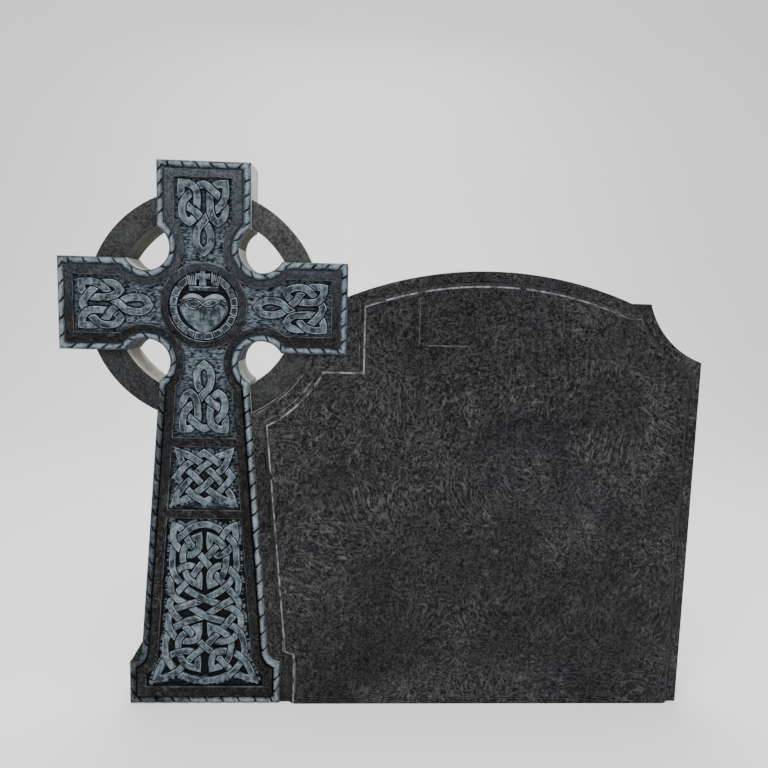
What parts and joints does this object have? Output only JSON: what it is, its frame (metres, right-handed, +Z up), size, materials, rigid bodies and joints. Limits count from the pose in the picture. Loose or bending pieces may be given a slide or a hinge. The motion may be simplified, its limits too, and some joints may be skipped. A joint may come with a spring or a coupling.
{
  "type": "celtic cross headstone",
  "caption": "Granite headstone: a ringed Celtic cross with rope edges, knotwork and a heart medallion, joined to a plain arched tablet.",
  "frame": {"origin": "centre of the bounding box on the ground plane, at the underside of the stone", "axes": "+X along the width towards the tablet's plain end, +Y from the carved front to the back, +Z up"},
  "size_m": [1.2236, 0.102, 1.047],
  "materials": {
    "granite": "polished, with honed and frosted carving"
  },
  "bodies": {
    "root": {"headstone": "granite"}
  },
  "joints": []
}
